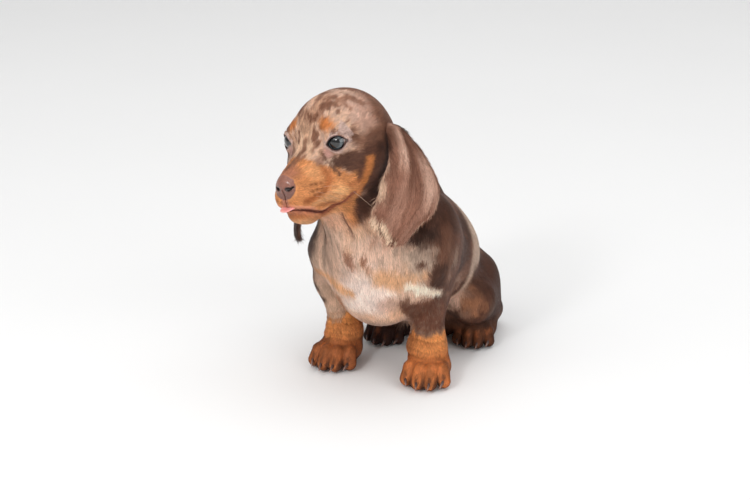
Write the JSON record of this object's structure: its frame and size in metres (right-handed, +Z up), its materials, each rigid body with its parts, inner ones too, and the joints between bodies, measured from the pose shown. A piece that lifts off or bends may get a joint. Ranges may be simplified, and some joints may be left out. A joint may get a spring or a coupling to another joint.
{
  "type": "sitting dachshund puppy",
  "caption": "Smooth-haired dachshund puppy sitting with its chest forward and its head turned to its right, long hanging ears, short legs and the tip of the tongue showing.",
  "frame": {"origin": "middle of the bounding box, on the floor that the dog sits on", "axes": "+Z up, -Y the way the chest faces, +X the dog's left; the length from nose to tail lies along Y"},
  "size_m": [0.1242, 0.244, 0.2027],
  "materials": {
    "coat": "short smooth hair, chocolate with dapple and tan",
    "eyes": "glossy",
    "nose_leather": "moist, pebbled",
    "tongue": "moist, soft"
  },
  "bodies": {
    "root": {"head": "coat", "neck": "coat", "torso": "coat", "tail": "coat", "foreleg_left": "coat", "foreleg_right": "coat", "hindleg_left": "coat", "hindleg_right": "coat", "ear_left": "coat", "ear_right": "coat", "eye_left": "eyes", "eye_right": "eyes", "nose": "nose_leather", "tongue": "tongue"}
  },
  "joints": []
}
